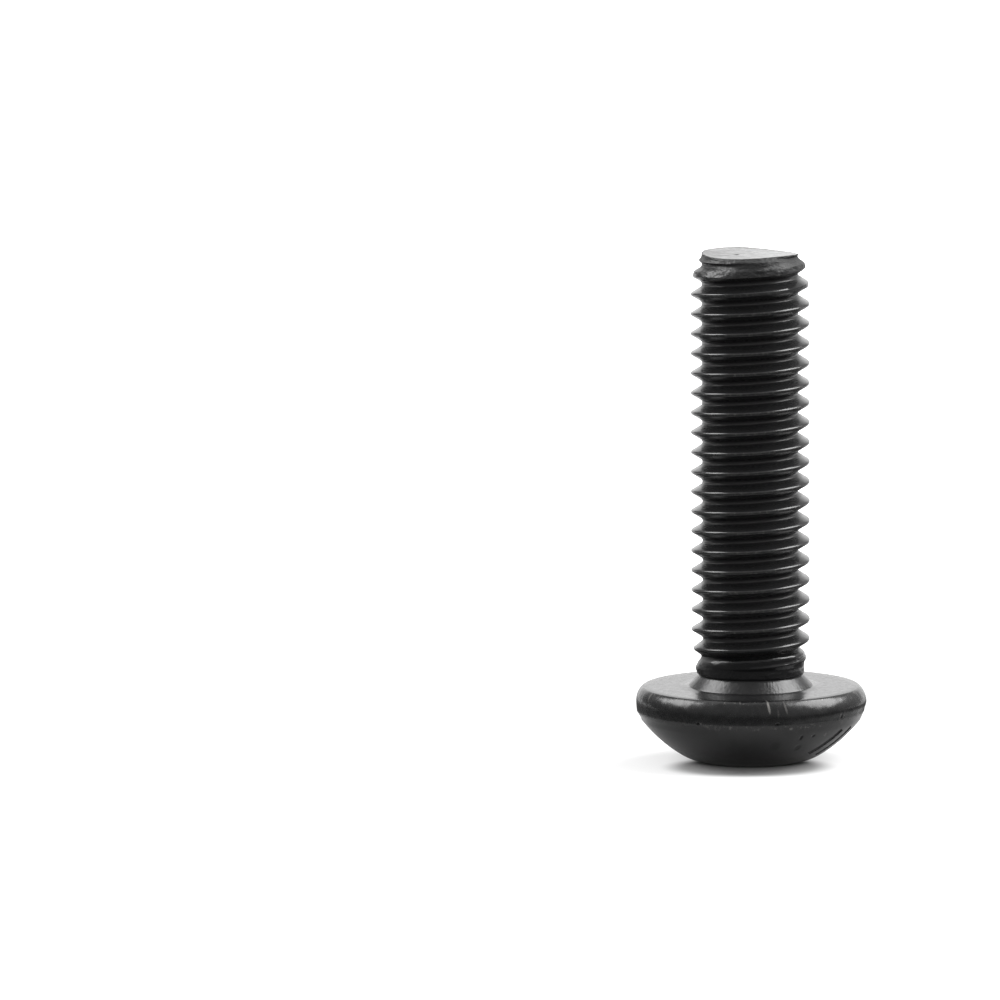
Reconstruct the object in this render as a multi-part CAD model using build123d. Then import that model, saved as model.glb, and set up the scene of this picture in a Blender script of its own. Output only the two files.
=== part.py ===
from build123d import *
import math
import os

# Button head screw, M5 x 0.8, one piece of cold-headed and thread-rolled steel. Sizes are in mm.
# It stands on the flat top of its head: z = 0 is that flat top, and +Z runs along the axis to the
# thread's end.

# Thread
major_d = 4.83  # over the crests
pitch = 0.8
flank_angle = 60  # between the two flanks of a crest
crest_flat = 0.1  # width of the flat on each crest
root_flat = 0.146  # width of the flat at each root
length = 17.66  # from the bearing face to the threaded end
lead_in = 0.43  # how far below the neck's end the crest line leaves +X

# Head
head_d = 9.4  # where it is widest
head_h = 3.0
rim_overhang = 0.32  # how far the rounded rim stands out past the flat bearing face
rim_middle = 0.7  # from the bearing face to where the rim is widest
rim_h = 0.95  # from the bearing face to where the dome begins
flat_top_d = 4.7  # where the dome would meet the flat top, before their edge is rounded
flat_top_round = 1.8  # radius of that rounded edge

# Neck between the head and the thread
neck_step = 0.28  # how far the neck, left at the blank's own diameter, lies below the crests
neck_h = 0.8  # from the bearing face to where the thread begins
collar_flare = 0.375  # how far the cone at the neck's foot spreads out on the bearing face
collar_h = 0.46
root_run_in = 0.8  # height over which the roots reach their full depth
crest_run_in = 1.3  # height over which the crests reach their full diameter

# Threaded end, where the crests are incomplete
end_step = 0.105  # how far the edge of the flat end face lies inside the roots
end_chamfer_h = 0.4
end_taper = 0.205  # how far the last crests have drawn in where the chamfer begins
end_taper_h = 1.2

# Hexagon socket
socket_flats = 3.02  # across the flats
socket_depth = 1.6  # from the flat top to the foot of the flats
socket_bevel = 0.06  # bevel round the mouth, beyond the corners
socket_cone_angle = 120  # of the hollow that the punch leaves under the flats

# The cutting and joining bodies
ridge_overlap = 0.06  # how deep the ridge is rooted in the core
clear = 1.0  # how far a cutting body stands clear of what it leaves alone

half_flank = math.radians(flank_angle / 2)
thread_depth = (pitch - crest_flat - root_flat) / 2 / math.tan(half_flank)
minor_d = major_d - 2 * thread_depth
neck_d = major_d - 2 * neck_step
collar_d = neck_d + 2 * collar_flare
end_chamfer_d = major_d - 2 * end_taper
end_d = minor_d - 2 * end_step
bearing_d = head_d - 2 * rim_overhang
bearing_z = head_h
thread_z = bearing_z + neck_h
end_z = bearing_z + length

def turned(*points):
    """Turns a polygon of (radius, height) points once about the axis."""
    return revolve(Plane.XZ * make_face(Polyline(*points, close=True)), Axis.Z)

def make_blank():
    """Head, neck and core in one, as the blank is headed, with the core running past the end face."""
    rim_r = (rim_overhang**2 + rim_middle**2) / (2 * rim_overhang)
    rim_fall = rim_r - math.sqrt(rim_r**2 - (rim_h - rim_middle) ** 2)
    bearing_edge = (bearing_d / 2, bearing_z)
    widest = (head_d / 2, bearing_z - rim_middle)
    rim = ThreePointArc(bearing_edge, widest, (head_d / 2 - rim_fall, bearing_z - rim_h))

    # The dome is part of a ball centred on the axis, from the rim's end to the flat top
    dome_start = rim @ 1
    dome_end = Vector(flat_top_d / 2, 0)
    ball_z = (dome_start.X**2 + dome_start.Y**2 - dome_end.X**2) / (2 * dome_start.Y)
    dome = RadiusArc(dome_start, dome_end, math.hypot(dome_end.X, ball_z))

    shank = Polyline(
        dome_end,
        (0, 0),
        (0, end_z + clear),
        (minor_d / 2, end_z + clear),
        (minor_d / 2, thread_z + root_run_in),
        (neck_d / 2, thread_z),
        (neck_d / 2, bearing_z + collar_h),
        (collar_d / 2, bearing_z),
        bearing_edge,
    )
    section = make_face([rim, dome, *shank.edges()])
    corner = section.vertices().sort_by_distance(dome_end)[0]
    section = fillet(corner, flat_top_round)
    return revolve(Plane.XZ * section, Axis.Z)

def make_ridge():
    """The thread's ridge: a helical band rooted in the core, standing past the crests and the end face."""
    root_r = minor_d / 2 - ridge_overlap
    tip_r = major_d / 2 + crest_flat / 4
    start_z = thread_z - lead_in
    turns = math.ceil((end_z + clear - start_z) / pitch)
    corners = []
    for radius, side in ((root_r, -1), (tip_r, -1), (tip_r, 1), (root_r, 1)):
        half_width = crest_flat / 2 + (major_d / 2 - radius) * math.tan(half_flank)
        corners.append((radius, start_z + side * half_width))
    faces = []
    for quarter in range(4 * turns):
        place = Pos(0, 0, quarter * pitch / 4) * Rot(0, 0, quarter * 90)
        helices = []
        for radius, z in corners:
            helix = Pos(0, 0, z) * place * Helix(pitch, pitch / 4, radius)
            helices.append(helix.edge())
        for k in range(4):
            faces.append(Face.make_surface_from_curves(helices[k - 1], helices[k]))
    for rise in (0, turns * pitch):
        loop = Polyline(*[(radius, 0, z + rise) for radius, z in corners], close=True)
        faces.append(Face(Wire(loop.edges())))
    return Solid(Shell(faces))

def make_crest_limit():
    """What the dies leave of the ridge: crests that run in from the neck up to the major diameter."""
    slope = (major_d - neck_d) / 2 / crest_run_in
    foot_r = neck_d / 2 - slope * neck_h
    full_crest = (major_d / 2, thread_z + crest_run_in)
    top_z = end_z + clear / 2
    last_crest = (major_d / 2, top_z)
    return turned((0, bearing_z), (foot_r, bearing_z), full_crest, last_crest, (0, top_z))

def make_end_limit():
    """Everything inside the finished outline at the threaded end, and well clear of it elsewhere."""
    outside = head_d / 2 + clear
    waist_z = thread_z + crest_run_in
    taper_z = end_z - end_chamfer_h - end_taper_h
    return turned(
        (0, -clear),
        (outside, -clear),
        (outside, waist_z),
        (major_d / 2, taper_z),
        (end_chamfer_d / 2, end_z - end_chamfer_h),
        (end_d / 2, end_z),
        (0, end_z),
    )

def make_socket():
    """Hexagon socket, open at the flat top, with a bevelled mouth and a conical bottom."""
    corner_r = socket_flats / 2 / math.cos(math.radians(30))
    cone_h = socket_flats / 2 / math.tan(math.radians(socket_cone_angle / 2))
    mouth_r = corner_r + socket_bevel
    hexagon = RegularPolygon(socket_flats / 2, 6, major_radius=False)
    flats = Pos(0, 0, -clear) * extrude(hexagon, clear + socket_depth)
    hollow = turned((0, 0), (socket_flats / 2, socket_depth), (0, socket_depth + cone_h))
    mouth = turned((0, -clear), (mouth_r + clear, -clear), (0, mouth_r))
    return flats + hollow + mouth

def make_button_head_screw():
    """The whole screw as one solid."""
    thread = make_ridge() & make_crest_limit()
    screw = (make_blank() + thread) & make_end_limit()
    return (screw - make_socket()).solid()

os.makedirs("parts", exist_ok=True)
export_step(make_button_head_screw(), "parts/button_head_screw.step")
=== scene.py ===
import math

import bpy
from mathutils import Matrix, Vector, noise


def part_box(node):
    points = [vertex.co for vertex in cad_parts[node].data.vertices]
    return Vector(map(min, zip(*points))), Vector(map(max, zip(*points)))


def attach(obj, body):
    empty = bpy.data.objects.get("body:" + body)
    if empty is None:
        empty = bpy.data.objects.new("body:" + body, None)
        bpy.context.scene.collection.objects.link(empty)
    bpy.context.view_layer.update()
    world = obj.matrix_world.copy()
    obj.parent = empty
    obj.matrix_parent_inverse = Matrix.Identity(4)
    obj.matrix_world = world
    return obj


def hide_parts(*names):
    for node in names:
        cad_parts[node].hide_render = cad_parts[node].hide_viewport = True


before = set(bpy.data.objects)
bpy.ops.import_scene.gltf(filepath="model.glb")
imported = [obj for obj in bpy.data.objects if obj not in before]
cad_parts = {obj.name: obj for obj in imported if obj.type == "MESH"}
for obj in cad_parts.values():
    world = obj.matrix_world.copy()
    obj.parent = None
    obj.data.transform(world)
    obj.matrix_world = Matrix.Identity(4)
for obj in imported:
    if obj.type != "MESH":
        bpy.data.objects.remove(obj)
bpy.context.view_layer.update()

# Camera: a long lens a little above the screw's middle. It looks along +Y and stands far enough back for
# the near and far edges of the head to show at almost the same size.
mm = 0.001
camera_aim = Vector((-10.1, 0, 10.63)) * mm
camera_distance = 351 * mm
camera_elevation = math.radians(7.5)
camera_roll = math.radians(0.345)  # the right side of the view stands a little high
camera_lens = 313.2  # on the 36 mm sensor

camera_back = Vector((0, -math.cos(camera_elevation), math.sin(camera_elevation)))
bpy.ops.object.camera_add(
    location=camera_aim + camera_distance * camera_back,
    rotation=(math.pi / 2 - camera_elevation, 0, 0),
)
camera = bpy.context.object
bpy.ops.transform.rotate(
    value=camera_roll, orient_axis="Z", orient_type="LOCAL", center_override=camera.location
)
camera.data.lens = camera_lens
camera.data.clip_start = 0.01
camera.data.clip_end = 10
bpy.context.scene.camera = camera

# Thread and neck: the shank of the headed blank, with an M5 x 0.8 right-hand thread rolled up out of it.
# The dies stop short of the head, where the blank's own round neck is left, and over the last turns at
# the free end the crests are incomplete and ragged.
low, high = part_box("button_head_screw")
head_h = 3.0 * mm
bearing_z = low.z + head_h
end_z = high.z
crest_r = 2.40 * mm
root_r = 1.935 * mm
pitch = 0.8 * mm
crest_flat = 0.1 * mm
root_flat = 0.146 * mm
crest_line_z = bearing_z + 0.34 * mm  # a point of the crest line's helix on +X, carried down past the neck
neck_r = 2.12 * mm
neck_z = bearing_z + 0.48 * mm  # where the neck stands on the cone under the head
end_r = 1.89 * mm
turn_steps = 144
same_place = 0.001 * mm  # what is nearer than this lies in the same place
snap = 0.01 * mm  # the swept thread is cut off level within this of the neck and the end face
weld = 0.0005 * mm


def deselect_all():
    bpy.ops.object.select_all(action="DESELECT")


def edit_mesh(piece, chosen=None, kind="VERT"):
    """Opens the piece in edit mode with all selected, or only what chosen() holds for."""
    deselect_all()
    bpy.context.view_layer.objects.active = piece
    piece.select_set(True)
    bpy.ops.object.mode_set(mode="EDIT")
    bpy.ops.mesh.select_mode(type=kind)
    bpy.ops.mesh.select_all(action="SELECT" if chosen is None else "DESELECT")
    if chosen is not None:
        bpy.ops.object.mode_set(mode="OBJECT")
        vertices = piece.data.vertices
        if kind == "VERT":
            for vertex in vertices:
                vertex.select = chosen(vertex.co)
        elif kind == "EDGE":
            for edge in piece.data.edges:
                edge.select = chosen(*(vertices[i].co for i in edge.vertices))
        else:
            for face in piece.data.polygons:
                face.select = chosen(face)
        bpy.ops.object.mode_set(mode="EDIT")


def close_mesh():
    bpy.ops.object.mode_set(mode="OBJECT")


def draw_section(name, points):
    """A wire through (radius, height) points in the XZ plane, extruded from point to point."""
    places = [Vector((radius, 0, z)) for radius, z in points]
    deselect_all()
    bpy.ops.mesh.primitive_plane_add(size=mm, location=places[0])
    section = bpy.context.object
    section.name = name
    bpy.ops.object.transform_apply(location=True, rotation=True, scale=True)
    edit_mesh(section)
    bpy.ops.mesh.merge(type="CENTER")
    for here, there in zip(places, places[1:]):
        bpy.ops.mesh.extrude_region_move(TRANSFORM_OT_translate={"value": there - here})
    close_mesh()
    return section


def round_corners(section, chosen, width, segments):
    edit_mesh(section, chosen)
    bpy.ops.mesh.bevel(offset=width, segments=segments, affect="VERTICES", clamp_overlap=False)
    close_mesh()


def apply_modifier(piece, modifier):
    deselect_all()
    bpy.context.view_layer.objects.active = piece
    piece.select_set(True)
    bpy.ops.object.modifier_apply(modifier=modifier.name)


def merge_doubles(piece):
    edit_mesh(piece)
    bpy.ops.mesh.remove_doubles(threshold=weld)
    close_mesh()


def extrude_rings(points):
    """Draws the selected ring on through (radius, height) points, of which the first is where it is."""
    for (last_r, last_z), (ring_r, ring_z) in zip(points, points[1:]):
        bpy.ops.mesh.extrude_region_move(TRANSFORM_OT_translate={"value": (0, 0, ring_z - last_z)})
        share = ring_r / last_r
        bpy.ops.transform.resize(value=(share, share, 1), center_override=(0, 0, ring_z))


# One pitch of the thread's section, from root to root, is swept round the axis
root_edge = pitch / 2 - root_flat / 2
section_z = crest_line_z - 2 * pitch
screw = draw_section(
    "screw_body",
    [
        (root_r, section_z - pitch / 2),
        (root_r, section_z - root_edge),
        (crest_r, section_z - crest_flat / 2),
        (crest_r, section_z + crest_flat / 2),
        (root_r, section_z + root_edge),
        (root_r, section_z + pitch / 2),
    ],
)
edit_mesh(screw, lambda a, b: abs(a.x - b.x) > root_flat, "EDGE")
bpy.ops.mesh.subdivide(number_cuts=3)
close_mesh()
half = 0.499  # of a flat, so that its two rounded corners just miss each other
round_corners(screw, lambda co: co.x > crest_r - same_place, half * crest_flat, 3)
round_corners(
    screw,
    lambda co: co.x < root_r + same_place and abs(co.z - section_z) < pitch / 2 - snap,
    half * root_flat,
    3,
)
merge_doubles(screw)
sweep = screw.modifiers.new("Rolled thread", "SCREW")
sweep.axis = "Z"
sweep.angle = math.tau
sweep.screw_offset = pitch
sweep.iterations = math.ceil((end_z - section_z) / pitch) + 2
sweep.steps = sweep.render_steps = turn_steps
apply_modifier(screw, sweep)
merge_doubles(screw)

# How far the dies pressed the thread in, as (height, radius): its roots and crests run in from the neck,
# and over the last turns neither the crests nor, at the front, the last groove came out in full
root_run_in = [
    (neck_z, neck_r),
    (bearing_z + 0.56 * mm, 2.16 * mm),
    (bearing_z + 0.76 * mm, 2.155 * mm),
    (bearing_z + 1.0 * mm, 2.08 * mm),
    (bearing_z + 1.3 * mm, root_r),
]
crest_run_in = [
    (neck_z, neck_r),
    (bearing_z + 0.56 * mm, 2.165 * mm),
    (bearing_z + 0.90 * mm, 2.165 * mm),
    (bearing_z + 1.02 * mm, 2.21 * mm),
    (bearing_z + 1.18 * mm, 2.26 * mm),
    (bearing_z + 1.54 * mm, 2.31 * mm),
    (bearing_z + 1.98 * mm, 2.39 * mm),
    (bearing_z + 2.30 * mm, crest_r),
]
neck_outline = [
    (neck_z, neck_r),
    (bearing_z + 0.56 * mm, 2.165 * mm),
    (bearing_z + 0.75 * mm, 2.165 * mm),
    (bearing_z + 0.88 * mm, 2.15 * mm),
    (bearing_z + 1.02 * mm, 2.18 * mm),
    (bearing_z + 1.2 * mm, 2.19 * mm),
]
first_groove = [  # as (height over the crest below, radius)
    (0.34 * mm, 2.19 * mm),
    (0.4 * mm, 2.15 * mm),
    (0.45 * mm, 2.08 * mm),
    (0.5 * mm, 2.0 * mm),
    (0.54 * mm, root_r),
]
groove_lead_in = [  # the same, where the groove begins and is softer
    (0.2 * mm, 2.18 * mm),
    (0.34 * mm, 2.1 * mm),
    (0.48 * mm, 2.0 * mm),
    (0.56 * mm, root_r),
]
crest_run_out = [
    (end_z - 1.69 * mm, crest_r),
    (end_z - 1.28 * mm, 2.355 * mm),
    (end_z - 0.89 * mm, 2.28 * mm),
    (end_z - 0.48 * mm, 2.21 * mm),
    (end_z - 0.36 * mm, 2.10 * mm),
    (end_z - 0.28 * mm, 2.00 * mm),
    (end_z - 0.16 * mm, 1.93 * mm),
    (end_z - 0.05 * mm, 1.94 * mm),
    (end_z, end_r),
]
last_groove = [
    (end_z - 0.9 * mm, root_r),
    (end_z - 0.72 * mm, 2.22 * mm),
    (end_z - 0.5 * mm, 2.15 * mm),
    (end_z - 0.2 * mm, 2.09 * mm),
    (end_z - 0.1 * mm, 1.97 * mm),
    (end_z, end_r),
]
full_fault = 0.15 * mm  # what a crest lacks in height where its faults are at their worst

# Faults of rolling, each with the degrees round from +X where it is deepest and its reach on either side
shallow_front = (-80, 65)
torn_side = (-128, 50)
flap_side = (188, 26)
notch_side = (-32, 34)
burr_side = (-2, 10)
torn_slant = 0.4
crest_grain = 0.22 * mm
crest_grain_depth = 0.005 * mm
torn_grain = 0.28 * mm
torn_grain_depth = 0.028 * mm
flap_z = bearing_z + 0.81 * mm
flap_height = 0.075 * mm
flap_above = 0.12 * mm
flap_below = 0.32 * mm
notch_z = end_z - 0.15 * mm
notch_depth = 0.09 * mm
notch_reach = 0.1 * mm
lip_reach = 0.08 * mm
lip_grain = 0.35 * mm
lip_grain_height = 0.018 * mm
lip_at_notch = 0.02 * mm
burr_height = 0.06 * mm

# The first groove, by how many degrees round it has come from its start
groove_start = 150  # degrees round from +X
groove_opens = 25
groove_closes = (240, 300)
soft_part = (50, 65)
dip_part = (20, 50)
dip = 0.09 * mm
climb_after = 150
climb = 0.0021 * mm  # a degree
groove_grain = 0.15 * mm
groove_grain_depth = 0.012 * mm
soft_grain_depth = 0.01 * mm


def along(outline, z):
    """The radius that an outline of (height, radius) points has at a height."""
    if z <= outline[0][0]:
        return outline[0][1]
    for (z0, r0), (z1, r1) in zip(outline, outline[1:]):
        if z <= z1:
            return r0 + (r1 - r0) * (z - z0) / (z1 - z0)
    return outline[-1][1]


def unevenness(co, size):
    """Smooth noise from -1 to 1, whose bumps are about size across."""
    return noise.noise(co / size)


def bump(value, middle, reach):
    """1 in the middle, falling smoothly to 0 at its reach on either side."""
    away = min(1, abs(value - middle) / reach)
    return (1 - away**2) ** 2


def turned_from(theta, degrees_round):
    """Degrees between a place's angle round the axis and a given one, from -180 to 180."""
    return (math.degrees(theta) - degrees_round + 180) % 360 - 180


def beside(theta, side):
    """How much of a fault an angle round the axis gets, from its middle and reach."""
    middle, reach = side
    return bump(turned_from(theta, middle), 0, reach)


for vertex in screw.data.vertices:
    co = vertex.co
    radius = co.xy.length
    theta = math.atan2(co.y, co.x)
    turns = (co.z - crest_line_z) / pitch - theta / math.tau
    from_crest = (turns - round(turns)) * pitch
    crest_share = (radius - root_r) / (crest_r - root_r)
    root_here = along(root_run_in, co.z)
    crest_here = along(crest_run_in, co.z)
    new_radius = root_here + (crest_here - root_here) * crest_share
    # The last crests stay short, and at the front the last groove is shallow too
    filled_r = along(crest_run_out, co.z)
    unfilled = min(1, (crest_r - filled_r) / full_fault)
    new_radius = min(new_radius, filled_r)
    new_radius += max(0, along(last_groove, co.z) - new_radius) * beside(theta, shallow_front)
    new_radius -= torn_slant * beside(theta, torn_side) * unfilled * from_crest * crest_share
    ragged = crest_grain_depth * unevenness(co, crest_grain)
    ragged += torn_grain_depth * unfilled * unevenness(co, torn_grain)
    new_radius += ragged * max(0, crest_share)
    # The first groove starts out narrow: for most of a turn the neck's full width still reaches up into it
    lead = (math.degrees(theta) - groove_start) % 360
    over_crest = co.z - crest_line_z - pitch * (lead + groove_start) / 360
    over_crest += dip * bump(lead, *dip_part) + climb * max(0, lead - climb_after)
    soft = bump(lead, *soft_part)
    groove_r = soft * along(groove_lead_in, over_crest) + (1 - soft) * along(first_groove, over_crest)
    unpressed = min(along(neck_outline, co.z), groove_r)
    closing = (groove_closes[1] - lead) / (groove_closes[1] - groove_closes[0])
    share = min(1, lead / groove_opens, max(0, closing))
    if unpressed > new_radius:
        rough = groove_grain_depth + soft_grain_depth * soft
        new_radius += (unpressed - new_radius + rough * unevenness(co, groove_grain)) * share
    # A flap of metal was pushed out over the neck there
    flap_reach = flap_above if co.z > flap_z else flap_below
    new_radius += flap_height * beside(theta, flap_side) * bump(co.z, flap_z, flap_reach)
    # The lip of the end face stands out over a notch at the front, and in a burr on +X
    notch = beside(theta, notch_side)
    new_radius -= notch_depth * notch * bump(co.z, notch_z, notch_reach)
    lip_place = end_r * Vector((math.cos(theta), math.sin(theta), 0))
    lip = burr_height * beside(theta, burr_side) + lip_at_notch * notch
    lip += lip_grain_height * unevenness(lip_place, lip_grain)
    new_radius += lip * bump(co.z, end_z, lip_reach)
    if co.z < neck_z + snap:
        new_radius = neck_r
        co.z = neck_z
    if co.z > end_z - snap:
        new_radius = end_r + lip
        co.z = end_z
    co.x *= new_radius / radius
    co.y *= new_radius / radius
merge_doubles(screw)

# The end face: sheared off the wire, so it leans a little, with a low rim and a pit left in it
end_shares = [1, 0.985] + [0.96 - 0.06 * k for k in range(16)]  # its rings, as shares of its radius
end_rim = 0.12 * mm
end_sunk = 0.02 * mm
broad_grain = 0.5 * mm
broad_grain_depth = 0.009 * mm
fine_grain = 0.17 * mm
fine_grain_depth = 0.004 * mm
pit_place = Vector((-0.55, -0.4, 0)) * mm
pit_reach = 0.13 * mm
pit_depth = 0.05 * mm
lean_middle = 0.075 * mm
lean_x, lean_y, lean_twist = 0.017, -0.02, 0.033  # what it gains along X, along Y and cornerwise
lean_reach = 0.5 * mm  # how far down the shank it fades out
edit_mesh(screw, lambda a, b: min(a.z, b.z) > end_z - same_place, "EDGE")
extrude_rings([(share * end_r, end_z) for share in end_shares])
bpy.ops.mesh.merge(type="CENTER")
close_mesh()
for vertex in screw.data.vertices:
    co = vertex.co
    depth = end_z - co.z
    if depth > lean_reach:
        continue
    if depth < same_place:
        flat = Vector((co.x, co.y, 0))
        inside = min(1, max(0, (end_r - flat.length) / end_rim))
        raised = broad_grain_depth * unevenness(flat, broad_grain) - end_sunk
        raised += fine_grain_depth * unevenness(flat, fine_grain)
        raised -= pit_depth * bump((flat - pit_place).length, 0, pit_reach)
        co.z += raised * inside
    lean = lean_middle + lean_x * co.x + lean_y * co.y + lean_twist * co.x * co.y / mm
    co.z -= max(0, lean) * (1 - depth / lean_reach)

# Head: upset cold from the same wire, so it runs on from the neck without a joint: a short cone, the flat
# bearing face, a rounded rim, and the low dome that gives the screw its name. The hexagon socket is
# punched into the dome's flat middle.
head_r = high.x
cone_foot_r = 2.51 * mm
rim_overhang = 0.32 * mm
rim_middle = 0.7 * mm  # from the bearing face to where the rim is widest
rim_side_r = 2 * mm  # the roundness below that, where it drops almost straight to the dome
edge_round = 0.03 * mm  # of the bearing face's edge
flat_top_r = 2.35 * mm
flat_top_round = 1.8 * mm
socket_flats = 3.02 * mm
socket_depth = 1.6 * mm
socket_bevel = 0.06 * mm

bearing_r = head_r - rim_overhang
rim_r = (rim_overhang**2 + rim_middle**2) / (2 * rim_overhang)


def arc(centre, radius, start, end, steps):
    """Points of (radius, height) on an arc, from one angle above the horizontal to another."""
    turns = [math.radians(start + (end - start) * k / steps) for k in range(steps + 1)]
    return [(centre[0] + radius * math.cos(t), centre[1] + radius * math.sin(t)) for t in turns]


rim_centre = (head_r - rim_r, bearing_z - rim_middle)
rim_top = math.degrees(math.asin(rim_middle / rim_r))
rim = arc(rim_centre, rim_r, rim_top, 0, 10)
rim += arc((head_r - rim_side_r, rim_centre[1]), rim_side_r, 0, -8, 4)[1:]
dome_start_r, dome_start_z = rim[-1]
ball_z = (dome_start_r**2 + dome_start_z**2 - flat_top_r**2) / (2 * dome_start_z)
ball_r = math.hypot(flat_top_r, ball_z)
round_r = math.sqrt((ball_r - flat_top_round) ** 2 - (ball_z - flat_top_round) ** 2)
dome_foot = -math.degrees(math.acos(dome_start_r / ball_r))
dome_end = -90 + math.degrees(math.atan2(round_r, ball_z - flat_top_round))
dome = arc((0, ball_z), ball_r, dome_foot, dome_end, 18)
flat_edge = arc((round_r, flat_top_round), flat_top_round, dome_end, -90, 8)
neck_cone = [
    (neck_r, neck_z),
    (neck_r + 0.01 * mm, neck_z - 0.03 * mm),
    (neck_r + 0.035 * mm, neck_z - 0.07 * mm),
    (cone_foot_r - 0.03 * mm, bearing_z + 0.06 * mm),
    (cone_foot_r, bearing_z + 0.015 * mm),
]
bearing_face = [(cone_foot_r + 0.04 * mm, bearing_z), (cone_foot_r + 0.5 * mm, bearing_z)]
bearing_face += [(r, bearing_z) for r in (3.5 * mm, 4.0 * mm, bearing_r - edge_round)]
rim[0] = (bearing_r - 0.25 * edge_round, bearing_z - 0.25 * edge_round)
flat_top = [(2.2 * mm, 0), (1.95 * mm, 0)]
deselect_all()
bpy.ops.mesh.primitive_circle_add(
    vertices=turn_steps, radius=neck_r, fill_type="NGON", location=(0, 0, neck_z)
)
head = bpy.context.object
head.name = "head"
bpy.ops.object.transform_apply(location=True, rotation=True, scale=True)
edit_mesh(head)
extrude_rings(neck_cone + bearing_face + rim + dome[1:] + flat_edge[1:] + flat_top)
bpy.ops.mesh.select_all(action="SELECT")
bpy.ops.mesh.normals_make_consistent(inside=False)
close_mesh()

# The rim came out of the die a little uneven: rounder below towards +X, and slightly short towards -X
rim_grain = 0.9 * mm
rim_grain_depth = 0.012 * mm
rim_grain_z = dome_start_z + 0.4 * mm
rim_grain_reach = 0.75 * mm
round_side = (-15, 75)
round_depth = 0.085 * mm
round_reach = 0.4 * mm
short_side = (180, 80)
short_depth = 0.06 * mm
short_z = 2.0 * mm
short_reach = 1.0 * mm
past_cone_r = 3 * mm
for vertex in head.data.vertices:
    co = vertex.co
    on_rim = bump(co.z, rim_grain_z, rim_grain_reach)
    if on_rim > 0 and co.xy.length > past_cone_r:
        theta = math.atan2(co.y, co.x)
        grain_place = Vector((co.x, co.y, 0.3 * co.z))  # it is drawn out along the axis
        inwards = rim_grain_depth * (1 + unevenness(grain_place, rim_grain)) * on_rim
        inwards += round_depth * beside(theta, round_side) * bump(co.z, dome_start_z, round_reach)
        inwards += short_depth * beside(theta, short_side) * bump(co.z, short_z, short_reach)
        shrink = 1 - inwards / co.xy.length
        co.x *= shrink
        co.y *= shrink


def cut_away(piece, tool):
    """Takes the tool's shape out of the piece, and the tool away."""
    edit_mesh(tool)
    bpy.ops.mesh.normals_make_consistent(inside=False)
    close_mesh()
    cut = piece.modifiers.new("Cut", "BOOLEAN")
    cut.operation = "DIFFERENCE"
    cut.solver = "EXACT"
    cut.object = tool
    apply_modifier(piece, cut)
    deselect_all()
    tool.select_set(True)
    bpy.ops.object.delete()


# The socket: a hexagon with its corners on the X axis, the punch's cone at its foot, and a bevelled mouth
corner_r = socket_flats / math.sqrt(3)
mouth_r = corner_r + socket_bevel
cone_depth = socket_flats / 2 / math.tan(math.radians(60))
clear = 1 * mm  # how far the cutting tools stand out of the head, at least
deselect_all()
bpy.ops.mesh.primitive_cylinder_add(
    vertices=6,
    radius=corner_r,
    depth=socket_depth + 2 * clear,
    location=(0, 0, socket_depth / 2 - clear),
    rotation=(0, 0, math.pi / 6),
)
cut_away(head, bpy.context.object)
deselect_all()
bpy.ops.mesh.primitive_cone_add(
    vertices=turn_steps,
    radius1=socket_flats / 2 + 2 * same_place,
    radius2=0,
    depth=cone_depth + same_place,
    location=(0, 0, socket_depth + cone_depth / 2 - same_place),
)
cut_away(head, bpy.context.object)
deselect_all()
bpy.ops.mesh.primitive_cone_add(
    vertices=turn_steps,
    radius1=mouth_r + clear,
    radius2=0,
    depth=mouth_r + clear,
    location=(0, 0, (mouth_r + clear) / 2 - clear),
    rotation=(0, 0, math.pi / turn_steps),
)
cut_away(head, bpy.context.object)


def on_head(azimuth, z, outwards=0):
    """A point on the rim or the dome, or outside it, at an angle round the axis and a height."""
    if z > dome_start_z:
        centre_r, centre_z, radius = rim_centre[0], rim_centre[1], rim_r
    else:
        centre_r, centre_z, radius = 0, ball_z, ball_r
    across = math.sqrt(radius**2 - (z - centre_z) ** 2)
    share = (radius + outwards) / radius
    r = centre_r + across * share
    a = math.radians(azimuth)
    return Vector((r * math.cos(a), r * math.sin(a), centre_z + (z - centre_z) * share))


# Stamped marks: two plain slanting strokes in the dome, and the same again on the other side. Each is cut
# by a round bar that is bent to the dome's curve.
stroke_width = 0.32 * mm
stroke_depth = 0.13 * mm
bar_r = stroke_width / 2
strokes = [((-34.1, 1.56), (-47.7, 0.60)), ((-23.6, 1.57), (-35.2, 0.44))]  # ends: (azimuth, height in mm)
ball_middle = Vector((0, 0, ball_z))
for side in (0, 180):
    for first, last in strokes:
        start = on_head(first[0] + side, first[1] * mm, bar_r - stroke_depth)
        stop = on_head(last[0] + side, last[1] * mm, bar_r - stroke_depth)
        swing = (stop - ball_middle).cross(start - ball_middle).normalized()
        onward = swing.cross(start - ball_middle).to_track_quat("Z", "Y").to_euler()
        deselect_all()
        bpy.ops.mesh.primitive_circle_add(
            vertices=16, radius=bar_r, fill_type="NGON", location=start, rotation=onward
        )
        bar = bpy.context.object
        bpy.ops.object.transform_apply(location=True, rotation=True, scale=True)
        edit_mesh(bar)
        sweep_angle = (start - ball_middle).angle(stop - ball_middle)
        bpy.ops.mesh.spin(steps=16, angle=sweep_angle, center=ball_middle, axis=swing)
        close_mesh()
        cut_away(head, bar)

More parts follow.
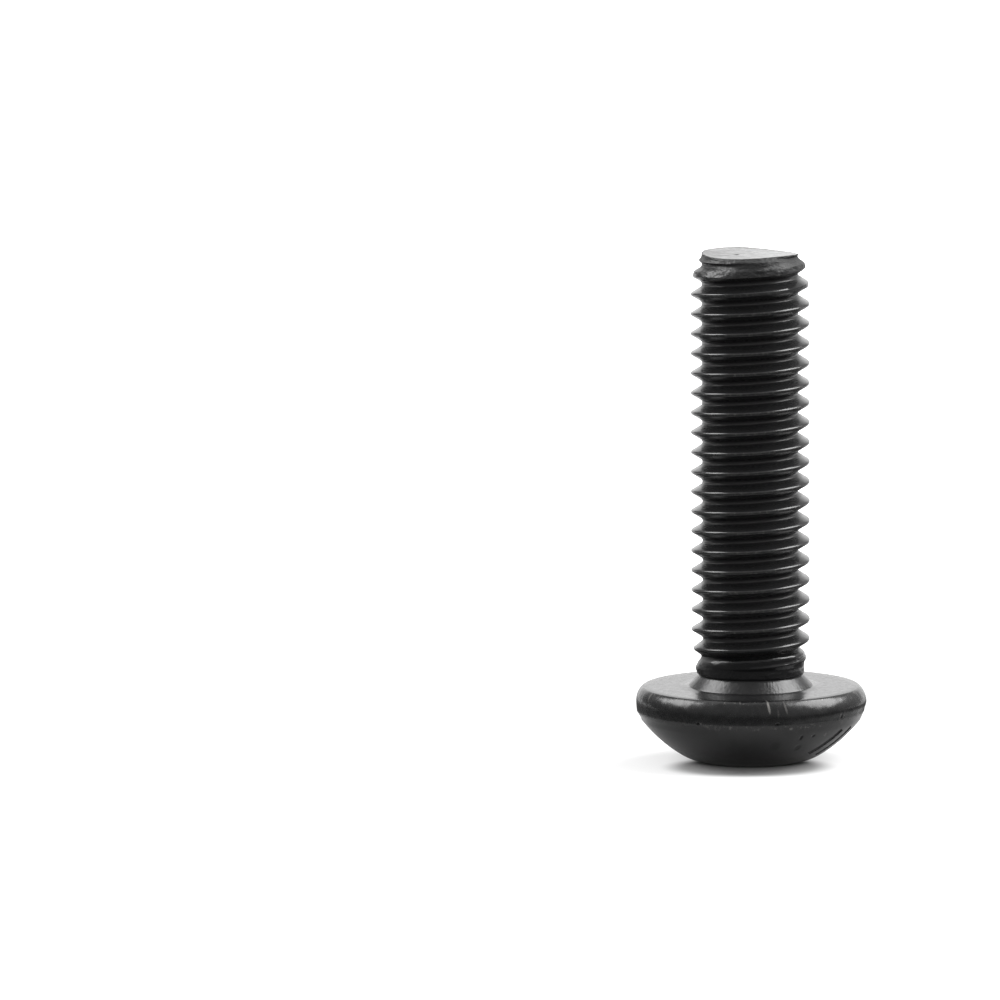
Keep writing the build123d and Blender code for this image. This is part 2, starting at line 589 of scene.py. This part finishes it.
# The head's flat cap in the neck goes, and the two halves of the blank become one again
edit_mesh(head, lambda face: face.center.z > neck_z - same_place, "FACE")
bpy.ops.mesh.delete(type="FACE")
close_mesh()
deselect_all()
head.select_set(True)
screw.select_set(True)
bpy.context.view_layer.objects.active = screw
bpy.ops.object.join()
edit_mesh(screw, lambda co: abs(co.z - neck_z) < same_place)
bpy.ops.mesh.remove_doubles(threshold=weld)
bpy.ops.mesh.select_all(action="SELECT")
bpy.ops.mesh.normals_make_consistent(inside=False)
close_mesh()
deselect_all()
screw.select_set(True)
bpy.ops.object.shade_smooth_by_angle(angle=math.radians(35))

# Finish: black oxide over the whole screw, oiled, a little uneven, and rubbed through to bright steel in
# specks along the edges that touch other screws. Light and shade are painted into it too: a highlight
# along the thread's crests, a lighter thread that lifts its shaded grooves, a darker neck and dark pits.
oxide = bpy.data.materials.new("black_oxide_steel")
oxide.use_nodes = True
skin = oxide.node_tree
shader = skin.nodes["Principled BSDF"]
shader.inputs["IOR"].default_value = 1.5


def calculate(tree, operation, *values):
    node = tree.nodes.new("ShaderNodeMath")
    node.operation = operation
    for k, value in enumerate(values):
        if isinstance(value, (int, float)):
            node.inputs[k].default_value = value
        else:
            tree.links.new(value, node.inputs[k])
    return node.outputs[0]


def fade(tree, value, start, end, low_value=0.0, high_value=1.0):
    """Goes smoothly from one value to another while what drives it goes from start to end."""
    node = tree.nodes.new("ShaderNodeMapRange")
    node.interpolation_type = "SMOOTHSTEP"
    tree.links.new(value, node.inputs["Value"])
    node.inputs["From Min"].default_value = start
    node.inputs["From Max"].default_value = end
    for name, level in (("To Min", low_value), ("To Max", high_value)):
        if isinstance(level, (int, float)):
            node.inputs[name].default_value = level
        else:
            tree.links.new(level, node.inputs[name])
    return node.outputs[0]


def grain(place, size, stretch=(1, 1, 1), detail=2):
    """Noise with grains about size across, from 0 to 1, that can be drawn out along an axis."""
    mapping = skin.nodes.new("ShaderNodeMapping")
    mapping.inputs["Scale"].default_value = [1 / (size * s) for s in stretch]
    skin.links.new(place, mapping.inputs["Vector"])
    texture = skin.nodes.new("ShaderNodeTexNoise")
    texture.inputs["Scale"].default_value = 1
    texture.inputs["Detail"].default_value = detail
    skin.links.new(mapping.outputs[0], texture.inputs["Vector"])
    return texture.outputs["Fac"]


def blend_colour(share, first, second):
    node = skin.nodes.new("ShaderNodeMix")
    node.data_type = "RGBA"
    skin.links.new(share, node.inputs[0])
    for socket, colour in zip(node.inputs[6:8], (first, second)):
        if isinstance(colour, tuple):
            socket.default_value = (*colour, 1)
        else:
            skin.links.new(colour, socket)
    return node.outputs[2]


def both(first, second):
    """Where two masks overlap."""
    return calculate(skin, "MULTIPLY", first, second)


def band(value, middle, reach):
    """1 where a value is at the middle, falling to 0 at its reach on either side."""
    distance = calculate(skin, "ABSOLUTE", calculate(skin, "SUBTRACT", value, middle))
    return fade(skin, distance, 0.0, reach, 1.0, 0.0)


place = skin.nodes.new("ShaderNodeTexCoord").outputs["Object"]
split = skin.nodes.new("ShaderNodeSeparateXYZ")
skin.links.new(place, split.inputs[0])
height = split.outputs["Z"]
flat_place = skin.nodes.new("ShaderNodeVectorMath")
flat_place.operation = "MULTIPLY"
flat_place.inputs[1].default_value = (1, 1, 0)
skin.links.new(place, flat_place.inputs[0])
across = skin.nodes.new("ShaderNodeVectorMath")
across.operation = "LENGTH"
skin.links.new(flat_place.outputs[0], across.inputs[0])
radius = across.outputs["Value"]
facing = skin.nodes.new("ShaderNodeSeparateXYZ")
skin.links.new(skin.nodes.new("ShaderNodeNewGeometry").outputs["Normal"], facing.inputs[0])

# Masks: where on the screw each part of the finish, and of the painted light and shade, lies
on_thread = fade(skin, height, neck_z, neck_z + 0.1 * mm)
crest = both(on_thread, fade(skin, radius, crest_r - 0.035 * mm, crest_r - 0.01 * mm))
neck = both(on_thread, fade(skin, height, bearing_z + 1.3 * mm, bearing_z + 1.6 * mm, 1.0, 0.0))
end_turns = fade(skin, height, end_z - 1.1 * mm, end_z - 0.7 * mm)
end_face = both(end_turns, fade(skin, facing.outputs["Z"], 0.8, 0.95))
torn = calculate(skin, "SUBTRACT", end_turns, end_face)
groove = both(
    calculate(skin, "SUBTRACT", on_thread, end_face),
    fade(skin, radius, root_r + 0.05 * mm, root_r + 0.2 * mm, 1.0, 0.0),
)
cone = both(
    fade(skin, height, bearing_z + 0.01 * mm, bearing_z + 0.05 * mm),
    fade(skin, height, neck_z, neck_z - 0.05 * mm),
)
rim_band = both(
    fade(skin, height, dome_start_z - 0.1 * mm, dome_start_z + 0.1 * mm),
    fade(skin, height, bearing_z - 0.02 * mm, bearing_z - 0.1 * mm),
)
mottle = grain(place, 0.3 * mm, detail=4)
patches = grain(place, 0.16 * mm, detail=1)
streaks = grain(place, 0.11 * mm, (1, 1, 12))

# Rubbed edges: the bearing face's edge and the crease under the rim, in specks
bearing_edge = both(
    band(height, bearing_z - 0.05 * mm, 0.09 * mm),
    fade(skin, radius, bearing_r - 0.12 * mm, bearing_r),
)
crease = both(
    band(height, dome_start_z - 0.05 * mm, 0.18 * mm),
    fade(skin, radius, 3.5 * mm, 4.0 * mm),
)
rubbed = calculate(skin, "MAXIMUM", bearing_edge, both(crease, 0.8))
specks = grain(place, 0.13 * mm, detail=3)
worn = both(rubbed, fade(skin, specks, 0.54, 0.8, 0.0, 0.4))
rubbed_crests = both(crest, fade(skin, specks, 0.5, 0.75, 0.0, 0.12))
worn = calculate(skin, "MAXIMUM", worn, rubbed_crests)


def near(azimuth, z, width, height, slant):
    """1 in the middle of an oval spot on the head, 0 round it; upright, or slanting by so many degrees."""
    mapping = skin.nodes.new("ShaderNodeMapping")
    mapping.vector_type = "TEXTURE"
    mapping.inputs["Location"].default_value = on_head(azimuth, z * mm)
    mapping.inputs["Rotation"].default_value = (math.radians(-slant), 0, math.radians(azimuth))
    mapping.inputs["Scale"].default_value = (1 * mm, width / 2 * mm, height / 2 * mm)
    skin.links.new(place, mapping.inputs["Vector"])
    away = skin.nodes.new("ShaderNodeVectorMath")
    away.operation = "LENGTH"
    skin.links.new(mapping.outputs[0], away.inputs[0])
    return fade(skin, away.outputs["Value"], 0.3, 1.0, 1.0, 0.0)


# Bare nicks that handling has left, one of which is instead a painted highlight, and pits whose dark is
# painted shade:
# (azimuth, height, width, height of the spot, slant, how strong)
nicks = [
    (-82.6, 2.80, 0.13, 0.65, -8, 0.9),
    (-73.9, 2.76, 0.12, 0.65, -10, 0.3),
    (-78.0, 2.55, 0.12, 0.50, 0, 0.08),
    (-71.1, 1.90, 0.22, 0.16, 0, 0.3),
    (-79.3, 1.95, 0.20, 0.14, 0, 0.12),
    (-66.0, 1.92, 0.20, 0.12, 0, 0.12),
    (-47.6, 1.47, 0.12, 0.22, 0, 0.25),
    (-41.0, 2.20, 0.12, 0.60, 0, 0.10),
    (-38.0, 2.25, 0.10, 0.60, 0, 0.08),
    # Not a nick: a painted highlight along the ridge between two stamped strokes
    (-31.0, 1.13, 0.12, 1.1, 30, 0.3),
    (-101.7, 2.00, 0.20, 0.12, 0, 0.2),
    (-117.0, 2.10, 0.12, 0.10, 0, 0.2),
    (38.0, 2.82, 0.16, 0.6, 10, 0.6),
    (121.0, 2.45, 0.14, 0.4, 0, 0.3),
    (-156.0, 2.85, 0.14, 0.5, -6, 0.4),
]
pits = [
    (-63.5, 1.46, 0.20, 0.30, 0, 1.0),
    (-56.0, 1.50, 0.22, 0.20, 0, 0.9),
    (-62.5, 1.00, 0.40, 0.40, 20, 0.5),
    (-77.5, 1.15, 0.6, 0.6, 30, 0.3),
    (-118.5, 2.10, 0.20, 0.16, 0, 0.9),
    (-78.5, 2.12, 0.24, 0.16, 0, 0.7),
    (-40.0, 2.20, 0.20, 0.24, 0, 0.6),
    (96.0, 1.60, 0.3, 0.4, 15, 0.6),
    (168.0, 2.05, 0.24, 0.3, 0, 0.6),
]
pit_shade = 0
for *spot, strength in nicks:
    worn = calculate(skin, "MAXIMUM", worn, both(near(*spot), strength))
for *spot, strength in pits:
    pit_shade = calculate(skin, "MAXIMUM", pit_shade, both(near(*spot), strength))

oxide_dark = (0.0045, 0.0045, 0.0048)
oxide_light = (0.0078, 0.0078, 0.0081)
lit_thread_colour = (0.0135, 0.0135, 0.0138)
neck_shade_colour = (0.006, 0.006, 0.0063)
crest_highlight_colour = (0.022, 0.022, 0.022)
pit_shade_colour = (0.008, 0.008, 0.008)
bare_steel = (0.3, 0.29, 0.28)
colour = blend_colour(fade(skin, mottle, 0.35, 0.65), oxide_dark, oxide_light)
# The thread is painted lighter than the head: painted light that lifts its shaded grooves
colour = blend_colour(on_thread, colour, lit_thread_colour)
# The neck under the head is painted darker: painted shade
colour = blend_colour(neck, colour, neck_shade_colour)
# The crests are painted lighter, broken up by the mottle: a painted highlight along the crest lines
colour = blend_colour(both(crest, fade(skin, mottle, 0.4, 0.65, 0.2, 1.0)), colour, crest_highlight_colour)
# The pits are painted dark: painted shade in their hollows
colour = blend_colour(pit_shade, colour, pit_shade_colour)
colour = blend_colour(worn, colour, bare_steel)
skin.links.new(colour, shader.inputs["Base Color"])
# Bare steel is metal, and the pits' painted shade counts as a dark metal, so that it does not shine
skin.links.new(calculate(skin, "MAXIMUM", worn, pit_shade), shader.inputs["Metallic"])

roughness = fade(skin, on_thread, 0.0, 1.0, 0.22, 0.19)
torn_right = both(torn, fade(skin, split.outputs["X"], 0.4 * mm, 1.0 * mm))
neck_left = both(neck, fade(skin, split.outputs["X"], -0.6 * mm, -1.0 * mm))
rougher = [
    (cone, 0.08),
    (rim_band, 0.04),
    (torn, 0.12),
    (torn_right, 0.2),
    (groove, 0.13),
    (neck_left, 0.14),
]
for part, added in rougher:
    roughness = calculate(skin, "ADD", roughness, both(part, added))
roughness = calculate(skin, "ADD", roughness, fade(skin, patches, 0.3, 0.7, -0.02, 0.03))
skin.links.new(roughness, shader.inputs["Roughness"])


def relief(texture, depth, share, under=None):
    """Raises the surface by a texture, by up to a depth, over what already raises it."""
    node = skin.nodes.new("ShaderNodeBump")
    node.inputs["Distance"].default_value = depth
    skin.links.new(texture, node.inputs["Height"])
    if isinstance(share, (int, float)):
        node.inputs["Strength"].default_value = share
    else:
        skin.links.new(share, node.inputs["Strength"])
    if under:
        skin.links.new(under, node.inputs["Normal"])
    return node.outputs[0]


bumps = relief(patches, 0.0018 * mm, 1)
bumps = relief(streaks, 0.015 * mm, cone, bumps)
bumps = relief(grain(place, 0.35 * mm, detail=0), 0.018 * mm, rim_band, bumps)
bumps = relief(grain(place, 0.11 * mm, (2, 2, 1), 3), 0.05 * mm, torn, bumps)
bumps = relief(mottle, 0.0025 * mm, end_face, bumps)
bumps = relief(grain(place, 0.14 * mm, (2, 2, 1), 2), 0.012 * mm, neck, bumps)
bumps = relief(pit_shade, -0.03 * mm, calculate(skin, "SUBTRACT", 1.0, on_thread), bumps)
skin.links.new(bumps, shader.inputs["Normal"])
screw.data.materials.clear()
screw.data.materials.append(oxide)
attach(screw, "root")
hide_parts("button_head_screw")

# Floor: a sheet of paper, grey near the screw and darker further off, so that it throws little light up
# under the head. To the camera it glows up to white, except in an oval round the screw's foot, where the
# glow fades out: the paper's own shadow shows there, cut to that painted oval.
deselect_all()
bpy.ops.mesh.primitive_plane_add(size=3, location=(0, 0, 0))
floor = bpy.context.object
floor.name = "floor"
paper = bpy.data.materials.new("white_paper")
paper.use_nodes = True
sheet = paper.node_tree
sheet.nodes.clear()
out = sheet.nodes.new("ShaderNodeOutputMaterial")
diffuse = sheet.nodes.new("ShaderNodeBsdfDiffuse")
glow = sheet.nodes.new("ShaderNodeEmission")
add = sheet.nodes.new("ShaderNodeAddShader")
path = sheet.nodes.new("ShaderNodeLightPath")
paper_place = sheet.nodes.new("ShaderNodeTexCoord").outputs["Object"]
from_screw = sheet.nodes.new("ShaderNodeVectorMath")
from_screw.operation = "LENGTH"
sheet.links.new(paper_place, from_screw.inputs[0])
sheet_place = sheet.nodes.new("ShaderNodeSeparateXYZ")
sheet.links.new(paper_place, sheet_place.inputs[0])
near_grey = 0.45
far_grey = 0.08
back_grey = 0.65
further_off = fade(sheet, sheet_place.outputs["Y"], 12 * mm, 45 * mm, far_grey, back_grey)
shade = fade(sheet, from_screw.outputs["Value"], 7 * mm, 12 * mm, near_grey, further_off)
# The oval without glow, the painted outline of the shadow, lies a little in front of the axis and is wider
# than it is deep
mapping = sheet.nodes.new("ShaderNodeMapping")
mapping.inputs["Location"].default_value = (0.15 * mm, 2.7 * mm, 0)
mapping.inputs["Scale"].default_value = (1, 1.3, 1)
sheet.links.new(paper_place, mapping.inputs["Vector"])
from_painted_shadow = sheet.nodes.new("ShaderNodeVectorMath")
from_painted_shadow.operation = "LENGTH"
sheet.links.new(mapping.outputs[0], from_painted_shadow.inputs[0])
away = fade(sheet, from_painted_shadow.outputs["Value"], 2.5 * mm, 3.7 * mm, 0.0, 0.5)
far_away = fade(sheet, from_painted_shadow.outputs["Value"], 5 * mm, 9 * mm, 0.0, 0.5)
sheet.links.new(shade, diffuse.inputs["Color"])
strength = calculate(sheet, "ADD", away, far_away)
strength = calculate(sheet, "MULTIPLY", path.outputs["Is Camera Ray"], strength)
sheet.links.new(strength, glow.inputs["Strength"])
sheet.links.new(diffuse.outputs[0], add.inputs[0])
sheet.links.new(glow.outputs[0], add.inputs[1])
sheet.links.new(add.outputs[0], out.inputs["Surface"])
floor.data.materials.append(paper)


# Lamps: a soft box above the screw on each side, just behind it, and a weak one in front
def soft_box(name, azimuth, elevation, distance, width, height, radiance):
    """A rectangular lamp that faces the screw. Azimuth is measured from the camera's side towards +X."""
    a, e = math.radians(azimuth), math.radians(elevation)
    place = distance * Vector((math.sin(a) * math.cos(e), -math.cos(a) * math.cos(e), math.sin(e)))
    aim = (-place).to_track_quat("-Z", "Y").to_euler()
    bpy.ops.object.light_add(type="AREA", location=place, rotation=aim)
    lamp = bpy.context.object
    lamp.name = name
    lamp.data.shape = "RECTANGLE"
    lamp.data.size = width
    lamp.data.size_y = height
    lamp.data.energy = radiance * math.pi * width * height


soft_box("left_soft_box", -101, 43, 0.5, 0.28, 0.27, 7.8)
soft_box("right_soft_box", 97, 45, 0.5, 0.36, 0.31, 8.7)
soft_box("front_fill", 0, 14, 0.6, 0.36, 0.36, 2.8)
bpy.context.object.visible_glossy = False  # it lifts the darkest parts without a highlight of its own
bpy.context.object.visible_camera = False

# The room: dark low down, grey higher up, lighter overhead and to the right, with a bright backdrop behind
# the screw. The camera sees it all as white.
world = bpy.data.worlds.new("studio")
bpy.context.scene.world = world
world.use_nodes = True
room = world.node_tree
room.nodes.clear()
out = room.nodes.new("ShaderNodeOutputWorld")
back = room.nodes.new("ShaderNodeBackground")
path = room.nodes.new("ShaderNodeLightPath")
split = room.nodes.new("ShaderNodeSeparateXYZ")
room.links.new(room.nodes.new("ShaderNodeTexCoord").outputs["Generated"], split.inputs[0])
low_wall = 0.12
high_wall = 0.6
ceiling_light = 1.6
right_light = 0.3
backdrop_low = 1.87
backdrop_high = 1.0
walls = fade(room, split.outputs["Z"], -0.1, 0.5, low_wall, high_wall)
overhead = fade(room, split.outputs["Y"], -0.35, 0.1, high_wall, ceiling_light)
ceiling = fade(room, split.outputs["Z"], 0.65, 0.95, walls, overhead)
right_wall = fade(room, split.outputs["X"], 0.3, 0.8, 0.0, right_light)
sides = calculate(room, "ADD", ceiling, right_wall)
backdrop = fade(room, split.outputs["Z"], 0.45, 0.6, backdrop_low, backdrop_high)
strength = fade(room, split.outputs["Y"], 0.78, 0.92, sides, backdrop)
strength = calculate(room, "MAXIMUM", strength, path.outputs["Is Camera Ray"])
room.links.new(strength, back.inputs["Strength"])
room.links.new(back.outputs[0], out.inputs["Surface"])

bpy.context.scene.view_settings.view_transform = "Standard"
